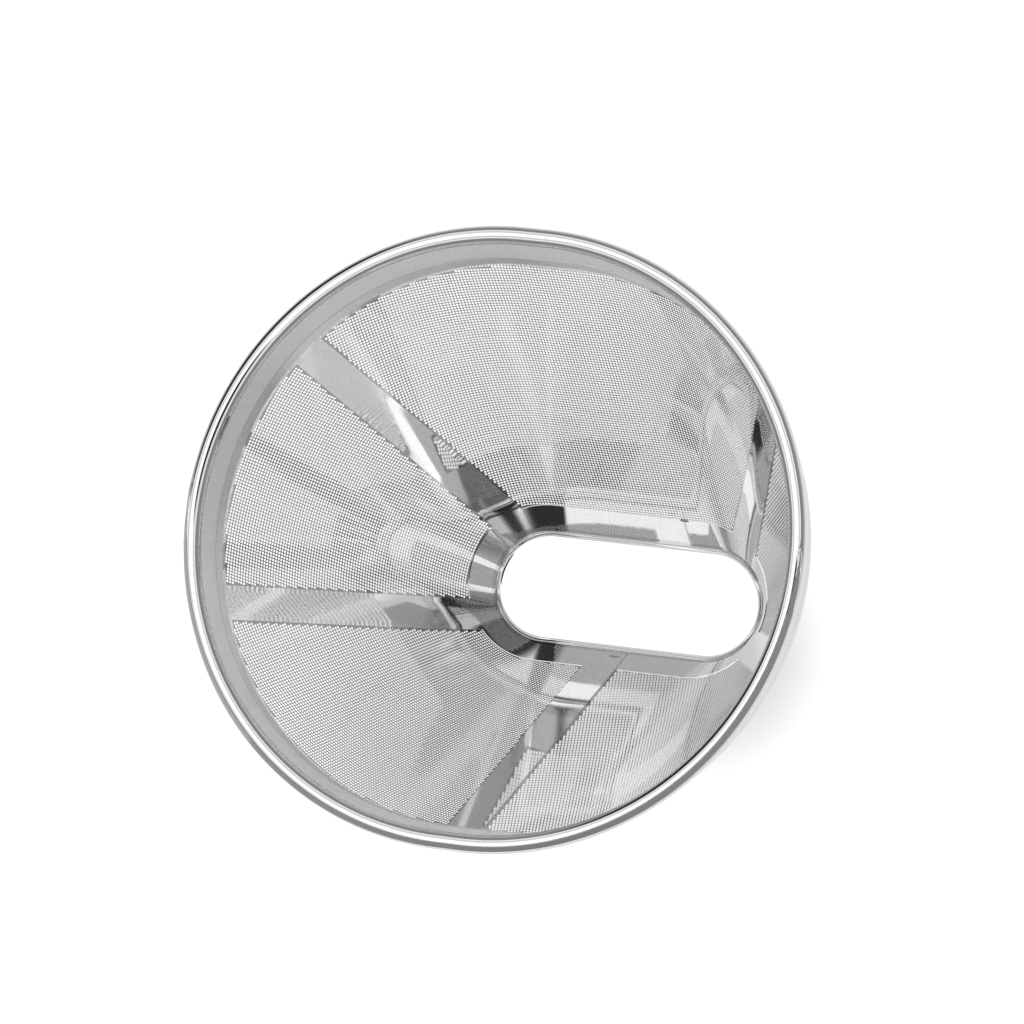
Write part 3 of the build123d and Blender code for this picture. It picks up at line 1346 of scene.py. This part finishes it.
@dataclass
class Studio:
    """White table with a painted pool of light and painted shadows, soft overhead light with two dark gaps,
    and the camera that looks into the mouth.

    The camera leans from straight above to the right and to the front, in degrees, and is rolled so that the
    base's long axis dips to the right. The sky gives the surround's brightness against the height of a
    direction. One gap lies round the camera's own direction and one to the side.
    """

    lean_right: float = 18.34
    lean_front: float = 5.28
    roll: float = 6.34
    distance: float = 1.3
    lens: float = 240.5
    sensor: float = 36.0
    clip_start: float = 0.01
    aim_right: float = 4.02 * MM
    aim_up: float = 4.94 * MM
    sky: tuple[tuple[float, float], ...] = (
        (0.0, 0.26),
        (0.30, 0.18),
        (0.56, 0.24),
        (0.66, 0.85),
        (0.71, 0.85),
        (0.79, 0.52),
        (0.88, 0.55),
        (0.92, 1.0),
    )
    sky_strength: float = 1.75
    camera_gap_inner: float = 11.0
    camera_gap_outer: float = 14.0
    camera_gap_tone: float = 0.03
    side_gap: Gap = Gap(towards=(-0.80, 0.47, 0.36), inner=14.0, outer=24.0, tone=0.10)
    table_reach: float = 3.0
    table_tone: float = 0.35
    table_variation: float = 0.01
    table_mottle: float = 30.0
    table_mottle_detail: float = 2.0
    table_roughness: float = 0.9
    # Painted pool of light: the table glows brighter near the part than far off.
    table_glow: float = 0.80
    far_glow: float = 0.28
    painted_pool_inner: float = 0.20
    painted_pool_outer: float = 0.50
    # Painted shadows: darker spots in the table's glow under the part, standing in for its contact shadow.
    painted_shadows: tuple[PaintedShadow, ...] = (
        PaintedShadow(place=(18.0 * MM, -10.0 * MM, 0.0), inner=12.0 * MM, outer=28.0 * MM, tone=0.66),
        PaintedShadow(place=(-42.0 * MM, -24.0 * MM, 0.0), inner=10.0 * MM, outer=32.0 * MM, tone=0.78),
    )

    @property
    def towards(self) -> Vector:
        """Direction from the part to the camera."""
        lean_x, lean_y = sin(radians(self.lean_right)), -sin(radians(self.lean_front))
        return Vector((lean_x, lean_y, (1 - lean_x ** 2 - lean_y ** 2) ** 0.5))

    @property
    def camera_gap(self) -> Gap:
        """Gap round the camera's direction."""
        return Gap(tuple(self.towards), self.camera_gap_inner, self.camera_gap_outer, self.camera_gap_tone)

    def place_camera(self, mouth_level: float) -> None:
        """Puts the camera along its lean from the mouth and rolls it.

        Args:
            mouth_level: height of the mouth.
        """
        towards = self.towards
        level_x = (Vector((1, 0, 0)) - towards * towards.x).normalized()
        level_y = towards.cross(level_x)
        turn = radians(self.roll)
        right = cos(turn) * level_x + sin(turn) * level_y
        up = cos(turn) * level_y - sin(turn) * level_x
        aim = Vector((0, 0, mouth_level)) + self.aim_right * right + self.aim_up * up
        data = bpy.data.cameras.new("camera")
        data.lens = self.lens
        data.sensor_width = self.sensor
        data.clip_start = self.clip_start
        camera = bpy.data.objects.new("camera", data)
        turned = Matrix((right, up, towards)).transposed().to_4x4()
        camera.matrix_world = Matrix.Translation(aim + towards * self.distance) @ turned
        bpy.context.scene.collection.objects.link(camera)
        bpy.context.scene.camera = camera

    def lay_floor(self) -> None:
        """Lays a pale table under the part, whose glow holds a painted pool of light and painted shadows."""
        reach = self.table_reach
        mesh = bpy.data.meshes.new("table")
        corners = [(-reach, -reach, 0), (reach, -reach, 0), (reach, reach, 0), (-reach, reach, 0)]
        mesh.from_pydata(corners, [], [(0, 1, 2, 3)])
        table = bpy.data.objects.new("table", mesh)
        bpy.context.scene.collection.objects.link(table)
        mesh.materials.append(self._table_material())

    def _table_material(self) -> bpy.types.Material:
        """A matt pale finish that glows, with a painted pool of light round the part and painted shadows
        under it.

        Returns:
            The new material.
        """
        material = bpy.data.materials.new("pale_table")
        material.use_nodes = True
        tree = material.node_tree
        nodes, link = tree.nodes, tree.links.new
        shader = nodes["Principled BSDF"]
        shader.inputs["Roughness"].default_value = self.table_roughness
        shader.inputs["Emission Color"].default_value = (1, 1, 1, 1)
        place = nodes.new("ShaderNodeTexCoord").outputs["Object"]
        tint = nodes.new("ShaderNodeValToRGB")
        tones = (self.table_tone - self.table_variation, self.table_tone + self.table_variation)
        for stop, tone in zip(tint.color_ramp.elements, tones):
            stop.color = (tone, tone, tone, 1)
        link(add_noise(tree, place, self.table_mottle, self.table_mottle_detail), tint.inputs["Fac"])
        link(tint.outputs[0], shader.inputs["Base Color"])
        away = nodes.new("ShaderNodeVectorMath")
        away.operation = "LENGTH"
        link(place, away.inputs[0])
        # Painted light: the glow fades outwards from the pool round the part, and painted shadows dim it
        # under the part.
        pool = (self.painted_pool_inner, self.painted_pool_outer)
        glow = map_range(tree, away.outputs["Value"], pool, (self.table_glow, self.far_glow), smooth=True)
        for shade in self.painted_shadows:
            glow = multiply(tree, glow, shade.factor(tree, place))
        link(glow, shader.inputs["Emission Strength"])
        return material

    def light(self) -> None:
        """Lights the part with the surround: the sky's brightness, times the darkness of the gaps."""
        world = bpy.data.worlds.new("studio")
        world.use_nodes = True
        tree = world.node_tree
        nodes, link = tree.nodes, tree.links.new
        background = nodes["Background"]
        place = nodes.new("ShaderNodeTexCoord").outputs["Generated"]
        split = nodes.new("ShaderNodeSeparateXYZ")
        ramp = nodes.new("ShaderNodeValToRGB")
        stops = ramp.color_ramp.elements
        while len(stops) < len(self.sky):
            stops.new(self.sky[-1][0])
        for stop, (where, tone) in zip(stops, self.sky):
            stop.position = where
            stop.color = (tone, tone, tone, 1)
        link(place, split.inputs[0])
        link(split.outputs["Z"], ramp.inputs["Fac"])
        link(ramp.outputs[0], background.inputs["Color"])
        strength = nodes.new("ShaderNodeValue").outputs[0]
        strength.default_value = self.sky_strength
        for gap in (self.camera_gap, self.side_gap):
            strength = multiply(tree, strength, gap.factor(tree, place))
        link(strength, background.inputs["Strength"])
        bpy.context.scene.world = world
        bpy.context.scene.view_settings.view_transform = "Standard"


def main() -> None:
    """Builds the wall, the rim and the pan, dresses them, and sets up the studio."""
    logging.basicConfig(level=logging.INFO, format="%(name)s %(message)s")
    pan_flange = BasePan.sheet + BasePan.weld_gap
    form = ConeForm.from_frame(pan_flange, BAND_HEIGHT, BAND_DRAFT)
    for sub_assembly in (FilterWall(form, FlatPattern(form)), RimRing(form), BasePan(form)):
        for piece in sub_assembly.dress():
            LOG.info("%s: %d faces", piece.name, len(piece.data.polygons))
    studio = Studio()
    studio.lay_floor()
    studio.light()
    studio.place_camera(form.mouth_level)


if __name__ == "__main__":
    main()
